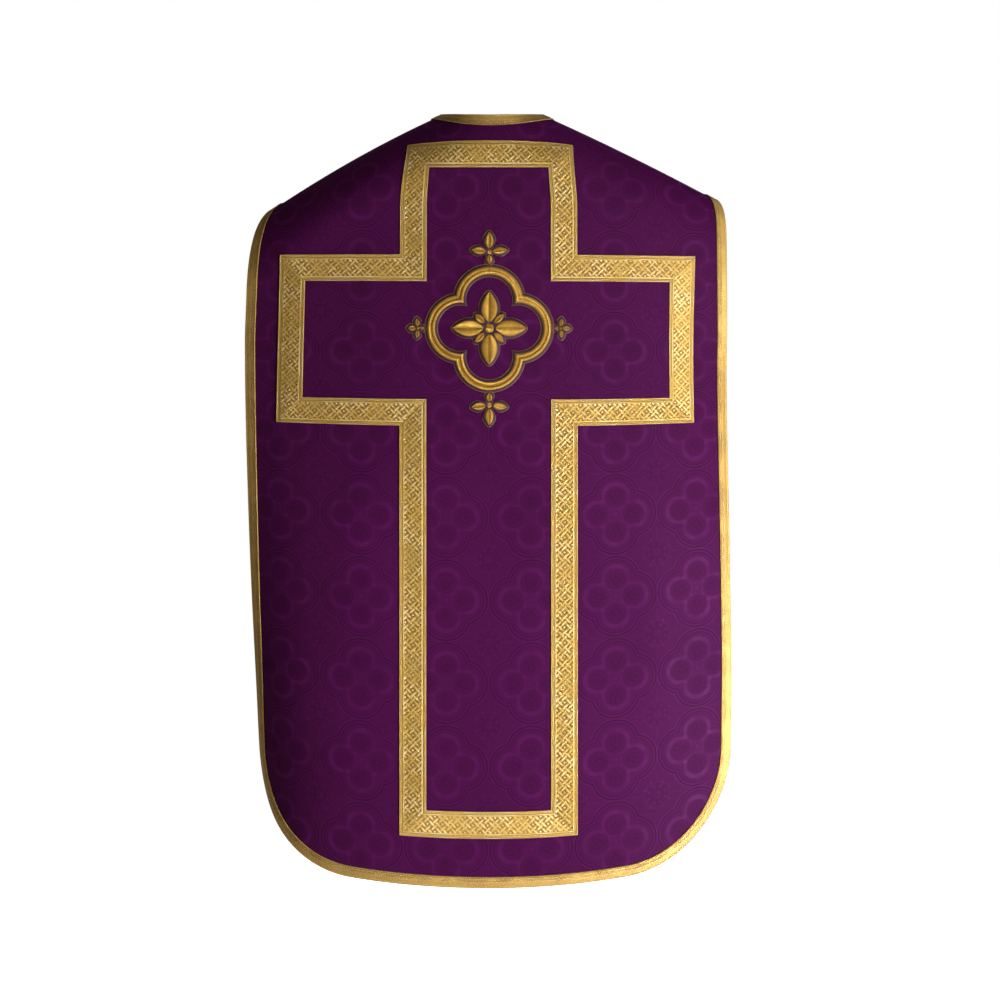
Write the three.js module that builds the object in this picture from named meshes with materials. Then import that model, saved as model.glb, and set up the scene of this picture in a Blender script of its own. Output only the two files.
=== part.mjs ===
// A fiddleback chasuble in the shape that it has when worn, in millimetres.
// +Z is up. The back of the garment faces -Y and its front faces +Y.
// The origin is in the middle of the neck opening, level with the cloth's edge at the centre back.
//
// Each panel is cut flat and then draped. Flat sizes are u, across from the centre line, and w, up,
// both as seen from behind. Trim and embroidery are made from a panel's own points, moved out.
import * as THREE from "three";

// Walls
const CLOTH = 2.0; // damask, interlining and lining together
const GAP = 0.3; // between two pieces that are sewn together
const GALLOON = 1.2; // woven gold braid
const EDGE_WIDTH = 16; // braid on the edges and round the neck

// The shoulder crest: its height and slope beside the neck, and how much it steepens outward
const RIDGE = { roundTo: 62, z: 30, fall: 0.442, left: 0.00086, right: 0.00034 };
const LEAN = 5; // the shoulders and front sit this far to the right of the back's centre line
const ROLL = { back: 85, front: 60 }; // radius of the turn over the shoulder
const SEAM_AHEAD = 45; // the shoulder seam lies this far in front of the crest
const BACK_ARC = (ROLL.back * Math.PI) / 2;
const FRONT_ARC = (ROLL.front * Math.PI) / 2;
const BACK_SEAM = BACK_ARC + SEAM_AHEAD;
const FRONT_SEAM = FRONT_ARC - SEAM_AHEAD - GAP;

// How far each panel stands off below the shoulder, and over what height
const BULGE = { back: 25, backHeight: 400, front: 45, frontHeight: 300 };

// How the sides of the back turn away: the angle at the edge in degrees, and how late the turn comes.
// below is the distance under the shoulder's roll.
const BACK_TURN = [
  { below: 0, left: 17, leftLate: 1.9, right: 20, rightLate: 1.3 },
  { below: 120, left: 20, leftLate: 2.0, right: 25, rightLate: 1.2 },
  { below: 260, left: 31, leftLate: 2.4, right: 25, rightLate: 1.3 },
  { below: 390, left: 45, leftLate: 3.0, right: 24, rightLate: 1.5 },
  { below: 520, left: 60, leftLate: 3.6, right: 22, rightLate: 1.6 },
  { below: 660, left: 68, leftLate: 3.6, right: 25, rightLate: 1.7 },
  { below: 870, left: 56, leftLate: 3.2, right: 29, rightLate: 1.8 },
];
const FRONT_TURN = { angle: 30, late: 1.6, half: 230 };
const TURN_HALF = 350; // the half width that the angles above are for
const BOW = { from: -200, rise: 4.0e-7 }; // the sides hang a little higher than the centre

// The back, cut flat
const BACK_SIDE = [
  { w: -300, half: 350 },
  { w: -130, half: 344 },
  { w: 0, half: 347 },
];
const BACK_HEM = { w: -1071, arc: 12000, corner: 158, half: 350 };
const BACK_NECK = [
  { u: -31.6, w: 6.4 },
  { u: 0, w: 3.4 },
  { u: 31.6, w: 6.4 },
  { u: 52, w: 11.8 },
  { u: 74.5, w: 22.5 },
  { u: 93.5, w: 39 },
  { u: 107.7, w: 61 },
  { u: 116.5, w: 81 },
  { u: 125, w: 107 },
];
const NECK_STAND = 80; // the band stands up at the centre back and lies down this far out

// The front, cut flat: cut in at the arms like a fiddle
const FRONT_SIDE = [
  { w: -960, half: 250 },
  { w: -780, half: 250 },
  { w: -640, half: 226 },
  { w: -480, half: 182 },
  { w: -380, half: 170 },
  { w: -300, half: 182 },
  { w: -235, half: 208 },
  { w: -180, half: 246 },
  { w: -136, half: 278 },
  { w: -105, half: 293 },
];
const FRONT_HEM = { w: -965, arc: 760, corner: 146, half: 250 };
const FRONT_NECK = { u: 80.5, depth: -172, power: 2 };

// The cross of braid on the back, to its centre line's edges
const CROSS = {
  postIn: 87, postOut: 125, armIn: 259, armOut: 297,
  top: -21, topIn: -59, armTop: -184, armTopIn: -222,
  armLowIn: -386, armLow: -424, footIn: -964, foot: -1002,
};

// The embroidered ornament at the crossing
const EMBLEM = { u: 1, w: -287, thread: 1.4, pad: 1.7 };

const clamp01 = (t) => Math.min(1, Math.max(0, t));
const smooth = (t) => clamp01(t) ** 2 * (3 - 2 * clamp01(t));
const mix = (a, b, t) => a + (b - a) * t;

/** A smooth curve through a table's rows, in order of the column key, level past both ends. */
function curve(table, key, value, at) {
  const last = table.length - 1;
  if (at <= table[0][key]) return table[0][value];
  if (at >= table[last][key]) return table[last][value];
  const i = table.findIndex((row) => row[key] > at) - 1;
  const slope = (k) => {
    const a = table[Math.max(0, k - 1)];
    const b = table[Math.min(last, k + 1)];
    return (b[value] - a[value]) / (b[key] - a[key]);
  };
  const step = table[i + 1][key] - table[i][key];
  const t = (at - table[i][key]) / step;
  const [a, b] = [table[i][value], table[i + 1][value]];
  const [p, q] = [slope(i) * step, slope(i + 1) * step];
  return a + t * (p + t * (3 * (b - a) - 2 * p - q + t * (2 * (a - b) + p + q)));
}

/** The height, slope and turn of the shoulder crest at x. */
function crest(x) {
  const { roundTo, z, fall, left, right } = RIDGE;
  const past = Math.abs(x) - roundTo;
  if (past < 0) {
    return {
      z: z + (fall * roundTo * (1 - (x / roundTo) ** 2)) / 2,
      slope: (-fall * x) / roundTo,
      turn: -fall / roundTo,
    };
  }
  const steepen = x < 0 ? left : right;
  return {
    z: z - past * (fall + (steepen * past) / 2),
    slope: -(fall + steepen * past) * Math.sign(x),
    turn: -steepen,
  };
}

/** How far a flat point is past the start of the roll, and the direction that the roll runs in. */
function toCrest(u, w, radius) {
  let x = u;
  for (let i = 0; i < 8; i += 1) {
    const c = crest(x);
    const rate = Math.min(-0.3, -1 - c.slope ** 2 + c.turn * (w - c.z));
    x -= (u - x + c.slope * (w - c.z)) / rate;
  }
  const c = crest(x);
  const length = Math.hypot(1, c.slope);
  const [nx, nz] = [-c.slope / length, 1 / length];
  return { along: radius + (u - x) * nx + (w - c.z) * nz, nx, nz };
}

/** Distance of a flat point below the line where the roll starts. */
function belowRoll(u, w, radius) {
  const c = crest(u);
  return Math.max(0, (c.z - w) / Math.hypot(1, c.slope) - radius);
}

/** Where a cloth that turns away steadily is, at a distance s along it: across and back. */
function turned(s, degrees, late, half) {
  const [angle, r] = [THREE.MathUtils.degToRad(degrees), Math.abs(s) / half];
  const f = angle * r ** late;
  return {
    x: s * (1 - f ** 2 / (4 * late + 2) + f ** 4 / (96 * late + 24)),
    y: Math.abs(s) * (f / (late + 1) - f ** 3 / (18 * late + 6) + f ** 5 / (600 * late + 120)),
  };
}

/** The back panel's inner face at a flat point, without the standing neck band. */
function backSurface(u, w) {
  const below = belowRoll(u, w, ROLL.back);
  const side = u < 0 ? "left" : "right";
  const degrees = curve(BACK_TURN, "below", side, below);
  const late = curve(BACK_TURN, "below", `${side}Late`, below);
  const turn = turned(u, degrees, late, TURN_HALF);
  const level = -ROLL.back - BULGE.back * smooth(below / BULGE.backHeight) + turn.y;
  const bow = BOW.rise * u * u * Math.max(0, BOW.from - w);
  const { along, nx, nz } = toCrest(u, w, ROLL.back);
  if (along <= 0) return new THREE.Vector3(turn.x, level, w + bow);
  if (along <= BACK_ARC) {
    const angle = along / ROLL.back;
    const drawn = along - ROLL.back * Math.sin(angle);
    const flat = Math.cos(angle);
    const x = u - drawn * nx + (turn.x - u) * flat + LEAN * smooth(along / BACK_ARC);
    return new THREE.Vector3(x, level * flat, w - drawn * nz + bow);
  }
  const angle = (along - BACK_ARC) / ROLL.front;
  const drawn = along - ROLL.back + ROLL.front * (1 - Math.cos(angle));
  return new THREE.Vector3(u - drawn * nx + LEAN, ROLL.front * Math.sin(angle), w - drawn * nz);
}

/** The back panel's inner face at a flat point. */
function drapeBack(u, w) {
  const stand = smooth(1 - Math.abs(u) / NECK_STAND);
  const above = w - backTop(u);
  if (stand <= 0 || above <= 0) return backSurface(u, w);
  const base = backSurface(u, backTop(u));
  return backSurface(u, w).lerp(new THREE.Vector3(base.x, base.y, base.z + above), stand);
}

/** The front panel's inner face at a flat point. */
function drapeFront(u, w) {
  const below = belowRoll(u, w, ROLL.front);
  const turn = turned(u, FRONT_TURN.angle * smooth(below / 120), FRONT_TURN.late, FRONT_TURN.half);
  const level = ROLL.front + BULGE.front * smooth(below / BULGE.frontHeight) - turn.y;
  const { along, nx, nz } = toCrest(u, w, ROLL.front);
  if (along <= 0) return new THREE.Vector3(turn.x + LEAN, level, w);
  const angle = along / ROLL.front;
  const drawn = along - ROLL.front * Math.sin(angle);
  const x = u - drawn * nx + (turn.x - u) * Math.cos(angle) + LEAN;
  return new THREE.Vector3(x, level * Math.cos(angle), w - drawn * nz);
}

/** The flat height at u that lies a given distance past the start of the roll: a line along the shoulder. */
function seamHeight(u, radius, distance) {
  let w = crest(u).z;
  for (let i = 0; i < 12; i += 1) w += 1.1 * (distance - toCrest(u, w, radius).along);
  return w;
}
const backSeam = (u) => seamHeight(u, ROLL.back, BACK_SEAM);
const frontSeam = (u) => seamHeight(u, ROLL.front, FRONT_SEAM);

/** A hem: one wide arc with a round corner at each side, moved in from the edge. */
function hemHeight(u, hem, inset) {
  const [arc, corner, half] = [hem.arc - inset, hem.corner - inset, hem.half - inset];
  const centre = hem.w + hem.arc;
  const out = Math.abs(u);
  const cornerU = hem.half - hem.corner;
  const drop = Math.sqrt((hem.arc - hem.corner) ** 2 - cornerU ** 2);
  if (out < (arc * cornerU) / (hem.arc - hem.corner)) return centre - Math.sqrt(arc ** 2 - out ** 2);
  return centre - drop - Math.sqrt(Math.max(0, corner ** 2 - Math.min(out - cornerU, half - cornerU) ** 2));
}

/** The top of the back panel's field: the neck band's lower edge, or the shoulder seam. */
function backTop(u) {
  const out = Math.abs(u);
  if (out < CROSS.postOut) return curve(BACK_NECK, "u", "w", out);
  return backSeam(u);
}

function frontTop(u) {
  const out = Math.abs(u);
  const corner = frontSeam(Math.sign(u) * FRONT_NECK.u);
  if (out < FRONT_NECK.u) {
    return mix(FRONT_NECK.depth, corner, (out / FRONT_NECK.u) ** FRONT_NECK.power);
  }
  return frontSeam(u);
}

/** Evenly spaced numbers from a to b in count steps, without a itself. */
const steps = (a, b, count) => Array.from({ length: count }, (_, i) => mix(a, b, (i + 1) / count));
const mirrored = (half) => [...half.slice(1).map((u) => -u).reverse(), ...half];

/**
 * A flat sheet of quads: a field of columns, a strip down both sides and along the hem, and a strip
 * round the neck. Each strip is EDGE_WIDTH wide, and both end on the shoulder seam.
 */
function flatSheet(columns, neckHalf, seam) {
  const points = columns.flat();
  const rows = columns[0].length;
  const at = (i, j) => i * rows + j;
  const last = columns.length - 1;
  const field = [];
  for (let i = 0; i < last; i += 1) {
    for (let j = 0; j < rows - 1; j += 1) {
      field.push([at(i, j), at(i, j + 1), at(i + 1, j + 1), at(i + 1, j)]);
    }
  }
  const strip = (path, along) => {
    const first = points.length;
    path.forEach((index, k) => {
      const p = points[index];
      const a = points[path[Math.max(0, k - 1)]];
      const b = points[path[Math.min(path.length - 1, k + 1)]];
      const end = k === 0 || k === path.length - 1;
      const length = Math.hypot(b.u - a.u, b.w - a.w) / EDGE_WIDTH;
      const seamU = p.u + along * Math.sign(p.u) * EDGE_WIDTH;
      points.push(end
        ? { u: seamU, w: seam(seamU) }
        : { u: p.u + (b.w - a.w) / length, w: p.w - (b.u - a.u) / length });
    });
    return path.slice(1).map((_, k) => [path[k], first + k, first + k + 1, path[k + 1]]);
  };
  const sides = [
    ...columns[0].map((_, j) => at(0, j)),
    ...columns.slice(1, last).map((_, i) => at(i + 1, rows - 1)),
    ...columns[last].map((_, j) => at(last, rows - 1 - j)),
  ];
  const neck = columns.map((_, i) => at(i, 0)).filter((index) => Math.abs(points[index].u) <= neckHalf + 0.01);
  return { points, field, edge: strip(sides, 1), neck: strip(neck.reverse(), -1) };
}

/** Gives each flat point its place on the inner face of the cloth and the direction out of it. */
function drape(points, surface, facing) {
  const step = 1.5;
  return points.map(({ u, w }) => {
    const across = surface(u + step, w).sub(surface(u - step, w));
    const up = surface(u, w + step).sub(surface(u, w - step));
    return { at: surface(u, w), out: across.cross(up).normalize().multiplyScalar(facing) };
  });
}

/** A closed wall on some faces of a draped sheet, from height low to height high above its points. */
function wall(draped, faces, low, high, facing = 1) {
  const used = [...new Set(faces.flat())];
  const slot = new Map(used.map((index, k) => [index, k]));
  const count = used.length;
  const positions = [];
  for (const height of [low, high]) {
    for (const index of used) {
      const rise = typeof height === "function" ? height(index) : height;
      positions.push(...draped[index].at.clone().addScaledVector(draped[index].out, rise).toArray());
    }
  }
  const triangles = [];
  const edges = new Map();
  for (const raw of faces) {
    const face = facing > 0 ? raw : [...raw].reverse();
    const ring = face.map((index) => slot.get(index));
    for (let k = 1; k < ring.length - 1; k += 1) {
      triangles.push(ring[0] + count, ring[k] + count, ring[k + 1] + count);
      triangles.push(ring[0], ring[k + 1], ring[k]);
    }
    ring.forEach((a, k) => {
      const b = ring[(k + 1) % ring.length];
      if (!edges.delete(`${b},${a}`)) edges.set(`${a},${b}`, [a, b]);
    });
  }
  for (const [a, b] of edges.values()) {
    triangles.push(b + count, a + count, a, b + count, a, b);
  }
  const geometry = new THREE.BufferGeometry();
  geometry.setAttribute("position", new THREE.Float32BufferAttribute(positions, 3));
  geometry.setIndex(triangles);
  geometry.computeVertexNormals();
  return geometry;
}

// The field of the back: columns that run from the neck or seam to the hem, with rows on the cross
const cornerColumns = [58, 68, 79, 90].map((degrees) => {
  const radius = BACK_HEM.corner - EDGE_WIDTH;
  return BACK_HEM.half - BACK_HEM.corner + radius * Math.sin(THREE.MathUtils.degToRad(degrees));
});
const backColumns = mirrored([
  0, 29, 58, CROSS.postIn, 100, 113, CROSS.postOut, 158, 192, 225, CROSS.armIn, 278, CROSS.armOut,
  ...cornerColumns,
]);

/** The rows of a column of the back. Beyond the cross's post they follow the shoulder and the hem. */
function backRows(u) {
  const { top, topIn, armTop, armTopIn, armLowIn, armLow, footIn, foot, postOut } = CROSS;
  const out = Math.abs(u);
  const [start, end] = [backTop(u), hemHeight(u, BACK_HEM, EDGE_WIDTH)];
  const postSide = Math.sign(u) * postOut;
  const upper = [
    start, ...steps(out > postOut ? backTop(postSide) : start, top, 5),
    ...steps(top, topIn, 2), ...steps(topIn, armTop, 6),
  ];
  const lower = [
    ...steps(armLow, footIn, 12), ...steps(footIn, foot, 2),
    ...steps(foot, out > postOut ? hemHeight(postOut, BACK_HEM, EDGE_WIDTH) : end, 2),
  ];
  if (out > postOut) {
    const above = (start - armTop) / (backTop(postSide) - armTop);
    const under = (end - armLow) / (hemHeight(postOut, BACK_HEM, EDGE_WIDTH) - armLow);
    upper.forEach((w, j) => { if (j) upper[j] = armTop + (w - armTop) * above; });
    lower.forEach((w, j) => { lower[j] = armLow + (w - armLow) * under; });
  }
  return [
    ...upper, ...steps(armTop, armTopIn, 2), ...steps(armTopIn, armLowIn, 6),
    ...steps(armLowIn, armLow, 2), ...lower,
  ];
}

const back = flatSheet(
  backColumns.map((column) => backRows(column).map((w) => {
    const out = Math.abs(column);
    const margin = (curve(BACK_SIDE, "w", "half", w) - EDGE_WIDTH - CROSS.armOut)
      / (BACK_HEM.half - EDGE_WIDTH - CROSS.armOut);
    const u = out <= CROSS.armOut ? out : CROSS.armOut + (out - CROSS.armOut) * margin;
    return { u: Math.sign(column) * u, w };
  })),
  CROSS.postOut,
  backSeam,
);

// The field of the front: each column keeps its share of the fiddle's width
const FRONT_ROLL_ROWS = [0, 0.015, 0.03, 0.045, 0.06];
const frontRows = [...FRONT_ROLL_ROWS, ...steps(0.06, 1, 20)];
const frontTops = mirrored([0, 18, 36, 52, 64, 73, FRONT_NECK.u, 108, 138, 170, 202, 232, 254, 268, 277]);
const frontLows = mirrored([0, 20, 40, 60, 78, 92, 108, 127, 147, 167, 186, 203, 217, 228, 234]);
const frontHalf = (w) => curve(FRONT_SIDE, "w", "half", w) - EDGE_WIDTH;

const front = flatSheet(
  frontTops.map((top, i) => {
    const start = frontTop(top);
    const end = hemHeight(frontLows[i], FRONT_HEM, EDGE_WIDTH);
    const edge = i === 0 || i === frontTops.length - 1;
    return frontRows.map((t) => {
      const w = mix(start, end, t);
      const share = mix(top / frontHalf(start), frontLows[i] / frontHalf(end), smooth(t));
      return { u: edge ? Math.sign(top) * frontHalf(w) : share * frontHalf(w), w };
    });
  }),
  FRONT_NECK.u,
  frontSeam,
);

const backDraped = drape(back.points, drapeBack, 1);
const frontDraped = drape(front.points, drapeFront, -1);

/** True where a quad of the back's field lies under the braid of the cross. */
function underCross(face) {
  const u = Math.abs(face.reduce((sum, index) => sum + back.points[index].u, 0) / 4);
  const w = face.reduce((sum, index) => sum + back.points[index].w, 0) / 4;
  const between = (a, b) => w < a && w > b;
  const post = u < CROSS.postOut && between(CROSS.top, CROSS.foot);
  const arms = u < CROSS.armOut && between(CROSS.armTop, CROSS.armLow);
  const insidePost = u < CROSS.postIn && between(CROSS.topIn, CROSS.footIn);
  const insideArms = u < CROSS.armIn && between(CROSS.armTopIn, CROSS.armLowIn);
  return (post || arms) && !insidePost && !insideArms;
}

/** Rings of flat points between two outlines given as a radius at an angle. */
function ornament(u, w, segments, rings, inner, outer) {
  const points = [];
  const faces = [];
  for (let ring = 0; ring <= rings; ring += 1) {
    for (let k = 0; k < segments; k += 1) {
      const angle = (2 * Math.PI * k) / segments;
      const radius = mix(inner(angle), outer(angle), ring / rings);
      points.push({ u: u + radius * Math.sin(angle), w: w + radius * Math.cos(angle), ring });
      const next = (k + 1) % segments;
      const at = ring * segments;
      if (ring < rings) faces.push([at + k, at + next, at + next + segments, at + k + segments]);
    }
  }
  return { points, faces, rings };
}

/** An ornament as padded embroidery on the back: thick in the middle of its width, thin at its edges. */
function embroidered({ points, faces, rings }) {
  const base = CLOTH + GAP;
  const height = (index) => base + EMBLEM.thread + EMBLEM.pad * Math.sin((Math.PI * points[index].ring) / rings);
  return wall(drape(points, drapeBack, 1), faces, base, height);
}

// A quatrefoil of four round lobes, as a radius at an angle
const lobed = (centre, radius) => (angle) => {
  const near = Math.min(...[0, 1, 2, 3, 4].map((k) => Math.abs(angle - (k * Math.PI) / 2)));
  return centre * Math.cos(near) + Math.sqrt(Math.max(0, radius ** 2 - (centre * Math.sin(near)) ** 2));
};
const star = (tip, waist) => (angle) => mix(waist, tip, Math.abs(Math.cos(2 * angle)) ** 2.2);
const level = (radius) => () => radius;

/** A fleur with a tip, two side leaves and a foot, as a radius at an angle. */
const fleur = ({ tip, leaf, foot, toward }) => (angle) => {
  const turn = Math.abs(Math.atan2(Math.sin(angle - toward), Math.cos(angle - toward)));
  const lobe = (size, centre, spread) => size * Math.exp(-(((turn - centre) / spread) ** 2));
  return 7 + lobe(tip - 7, 0, 0.42) + lobe(leaf - 7, 1.45, 0.42) + lobe(foot - 7, Math.PI, 0.4);
};

const FLEURS = [
  { name: "emblem_top", across: 0, up: 1, far: 108, tip: 28, leaf: 25, foot: 17 },
  { name: "emblem_right", across: 1, up: 0, far: 100, tip: 14, leaf: 14, foot: 9 },
  { name: "emblem_low", across: 0, up: -1, far: 108, tip: 28, leaf: 25, foot: 17 },
  { name: "emblem_left", across: -1, up: 0, far: 100, tip: 14, leaf: 14, foot: 9 },
];
const ORNAMENTS = [
  { name: "emblem_ring", shape: ornament(EMBLEM.u, EMBLEM.w, 56, 2, lobed(40, 36), lobed(40, 47)) },
  { name: "emblem_star", shape: ornament(EMBLEM.u, EMBLEM.w, 40, 3, level(6), star(52, 20)) },
  ...FLEURS.map(({ name, across, up, far, ...size }) => ({
    name,
    shape: ornament(
      EMBLEM.u + across * far, EMBLEM.w + up * far, 30, 2, level(2.5),
      fleur({ ...size, toward: Math.atan2(across, up) }),
    ),
  })),
];

const MATERIALS = {
  damask: { color: 0x5a1a50, roughness: 0.62, metalness: 0 },
  galloon: { color: 0xc49a55, roughness: 0.45, metalness: 0.35 },
  thread: { color: 0xc8973f, roughness: 0.4, metalness: 0.4 },
};

const braidLow = CLOTH + GAP;
const braidHigh = braidLow + GALLOON;
const backFaces = [...back.field, ...back.edge, ...back.neck];
const frontFaces = [...front.field, ...front.edge, ...front.neck];

const PIECES = [
  { name: "back_panel", material: "damask", geometry: wall(backDraped, backFaces, 0, CLOTH) },
  { name: "front_panel", material: "damask", geometry: wall(frontDraped, frontFaces, 0, CLOTH, -1) },
  { name: "edge_galloon_back", material: "galloon", geometry: wall(backDraped, back.edge, braidLow, braidHigh) },
  {
    name: "edge_galloon_front", material: "galloon",
    geometry: wall(frontDraped, front.edge, braidLow, braidHigh, -1),
  },
  { name: "neck_galloon_back", material: "galloon", geometry: wall(backDraped, back.neck, braidLow, braidHigh) },
  {
    name: "neck_galloon_front", material: "galloon",
    geometry: wall(frontDraped, front.neck, braidLow, braidHigh, -1),
  },
  {
    name: "cross_galloon", material: "galloon",
    geometry: wall(backDraped, back.field.filter(underCross), braidLow, braidHigh),
  },
  ...ORNAMENTS.map(({ name, shape }) => ({ name, material: "thread", geometry: embroidered(shape) })),
];

const chasuble = new THREE.Group();
for (const { name, material, geometry } of PIECES) {
  const mesh = new THREE.Mesh(geometry, new THREE.MeshStandardMaterial(MATERIALS[material]));
  mesh.name = name;
  chasuble.add(mesh);
}

export default chasuble;
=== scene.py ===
"""A fiddleback chasuble seen from behind: purple damask, gold braid and a padded gold ornament.

Sizes in the code are millimetres on the flat cloth: u runs across from the centre line and w runs
up, both as seen from behind. The drape turns them into places in space, and Blender gets metres.
"""

import math

import bpy
import numpy as np
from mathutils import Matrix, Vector


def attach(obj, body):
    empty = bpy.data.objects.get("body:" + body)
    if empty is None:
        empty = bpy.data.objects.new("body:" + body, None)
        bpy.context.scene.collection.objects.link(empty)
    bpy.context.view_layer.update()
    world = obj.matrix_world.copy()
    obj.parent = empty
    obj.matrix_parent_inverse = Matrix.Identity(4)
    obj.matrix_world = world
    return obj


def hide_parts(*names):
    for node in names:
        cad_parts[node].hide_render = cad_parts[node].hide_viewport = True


bl_info = {
    "name": "Fiddleback Chasuble",
    "version": (1, 0, 0),
    "blender": (4, 5, 0),
    "location": "View3D > Sidebar > Chasuble",
    "description": "Builds a worn fiddleback chasuble in damask, braid and embroidery",
    "category": "Add Mesh",
}

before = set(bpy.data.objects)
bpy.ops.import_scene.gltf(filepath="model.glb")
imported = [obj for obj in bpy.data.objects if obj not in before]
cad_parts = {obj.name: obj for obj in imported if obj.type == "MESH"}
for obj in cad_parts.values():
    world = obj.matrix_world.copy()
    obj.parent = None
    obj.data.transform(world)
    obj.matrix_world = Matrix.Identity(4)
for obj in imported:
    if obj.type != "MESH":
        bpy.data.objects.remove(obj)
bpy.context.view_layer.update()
MM = 0.001

# Thicknesses and widths, with the solids' wall and gap
CLOTH = 2.0
GAP = 0.3
EDGE_WIDTH = 16.0
BRAID_WALL, STITCH_WALL, CORD_RADIUS = 0.5, 0.3, 0.42
LINED_DAMASK = ("purple damask", "purple lining")

# The stage, in metres. Each light: name, place, aim, watts, size, spread in degrees and colour
FLOOR, CAMERA = -1.5, (0.0161, -3.51, -0.5278)
LIGHTS = (
    ("key", (1.75, -1.45, -1.25), (0.22, 0.0, -0.86), 22.5, 0.9, 74, (0.97, 0.975, 1.06)),
    ("side", (2.2, -2.3, 0.60), (0.0, 0.0, -0.25), 15, 0.7, 120, (1.0, 0.97, 0.93)),
    ("fill", (-2.0, -2.9, -0.9), (0.0, 0.0, -0.60), 10.5, 1.6, 180, (1.0, 0.90, 0.78)),
    ("front fill", (1.2, 2.6, -0.2), (0.0, 0.0, -0.55), 80, 1.6, 180, (1.0, 0.97, 0.93)),
)

# The shoulder crest, the roll over it and how the panels stand off below it
RIDGE = {"round_to": 62, "z": 30, "fall": 0.442, "left": 0.00086, "right": 0.00034}
LEAN = 5.0
ROLL_BACK, ROLL_FRONT = 85.0, 60.0
SEAM_AHEAD = 45.0
BACK_ARC = ROLL_BACK * math.pi / 2
FRONT_ARC = ROLL_FRONT * math.pi / 2
BACK_SEAM = BACK_ARC + SEAM_AHEAD
FRONT_SEAM = FRONT_ARC - SEAM_AHEAD - GAP
# Each panel's roll, and how far past its start the shoulder seam runs
BACK_JOIN, FRONT_JOIN = (ROLL_BACK, BACK_SEAM), (ROLL_FRONT, FRONT_SEAM)
BULGE = {"back": 25, "back_height": 400, "front": 45, "front_height": 300}
TURN_HALF = 350.0
BOW_FROM, BOW_RISE = -200.0, 4.0e-7

# How the back turns away at its sides: height below the roll, then the angle at its edge in degrees
# and how late the turn comes, for the left side and for the right
BACK_TURN = np.array([
    (0, 17, 1.9, 20, 1.3),
    (120, 20, 2.0, 25, 1.2),
    (260, 31, 2.4, 25, 1.3),
    (390, 45, 3.0, 24, 1.5),
    (520, 60, 3.6, 22, 1.6),
    (660, 68, 3.6, 25, 1.7),
    (870, 56, 3.2, 29, 1.8),
], float)
FRONT_TURN_ANGLE, FRONT_TURN_LATE, FRONT_TURN_HALF = 30.0, 1.6, 230.0

# Flat cuts: w and half width, or u and w round the neck
BACK_SIDE = np.array([(-300, 350), (-130, 344), (0, 347)], float)
BACK_HEM = {"w": -1071, "arc": 12000, "corner": 158, "half": 350}
BACK_NECK = np.array([
    (-31.6, 6.4), (0, 3.4), (31.6, 6.4), (52, 11.8), (74.5, 22.5),
    (93.5, 39), (107.7, 61), (116.5, 81), (125, 107),
], float)
NECK_CORNER, NECK_STAND = 125.0, 80.0
# Where the cloth's own edge ends beside the neck, and how far below it the band starts to stand
NECK_CLOTH, NECK_FOLD = 109.0, 14.5
FRONT_SIDE = np.array([
    (-960, 250), (-780, 250), (-640, 226), (-480, 182), (-380, 170),
    (-300, 182), (-235, 208), (-180, 246), (-136, 278), (-105, 293),
], float)
FRONT_HEM = {"w": -965, "arc": 760, "corner": 146, "half": 250}
FRONT_NECK_U, FRONT_NECK_DEPTH, FRONT_NECK_POWER = 80.5, -172.0, 2.0
FRONT_SHOULDER = 293.0

# The cross of braid: its centre line's corners, and the braid's width
CROSS_WIDTH = 38.0
CROSS_CORNERS = [
    (-106, -40), (106, -40), (106, -201), (278, -199.5), (277.5, -407), (106, -406.5),
    (106, -983), (-106, -983), (-106, -406), (-283, -406.5), (-278.5, -199), (-106, -201),
]
# How far the cross draws in towards its top, as a share, and over which heights
CROSS_DRAWN = {"share": 0.05, "from": -115.0, "over": 80.0}
# The braid lies lower at a mitre, to this share of its height, and rises over this length
MITRE_PRESS, MITRE_RISE = 0.70, 1.4
PLAIT_PITCH = 0.0211

# The damask's repeat, and the middle of one of its figures
REPEAT_ACROSS, REPEAT_UP = 119.0, 116.4
FIGURE_U, FIGURE_W = 59.5, -86.8

# The ornament: its middle, the ring's four lobes, and how far the dark ground shows round a stroke
EMBLEM_U, EMBLEM_W = 1.0, -287.0
RING = {"centre": 40.0, "inner": 36.0, "outer": 47.0, "reach": 58.0}
MARGIN = 3.0

# Soft creases: u, w, direction in degrees from upright, length, width, height (below 0 is a trough)
BACK_CREASES = [
    (-196, -330, 12, 340, 60, 1.4), (-232, -560, 7, 420, 52, -1.7), (-150, -700, -5, 380, 70, 1.2),
    (180, -520, -6, 460, 62, -1.3), (236, -760, -4, 330, 54, 1.5), (160, -860, 5, 240, 60, -1.1),
    (60, -640, 2, 520, 80, 0.9), (-40, -900, -3, 260, 66, -0.9), (-205, -115, 60, 190, 34, 1.2),
    (215, -120, -58, 200, 36, -1.2), (-120, -62, 52, 130, 30, -1.0), (130, -64, -50, 120, 30, 1.0),
    (288, -300, 3, 260, 40, -1.2), (-292, -420, 4, 300, 38, 1.6), (0, -480, 0, 300, 90, -0.8),
]
FRONT_CREASES = [
    (-86, -300, 8, 320, 48, 1.5), (96, -360, -7, 360, 50, -1.5), (-20, -560, 2, 420, 60, 1.1),
    (120, -700, -5, 320, 56, 1.3), (-130, -720, 6, 300, 52, -1.4), (50, -840, -3, 240, 52, -1.0),
    (-170, -150, 50, 150, 34, 1.1), (176, -150, -50, 150, 34, -1.1), (0, -240, 0, 160, 60, -1.2),
]


def smooth(t):
    """A soft step from 0 to 1."""
    t = np.clip(t, 0, 1)
    return t * t * (3 - 2 * t)


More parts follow.
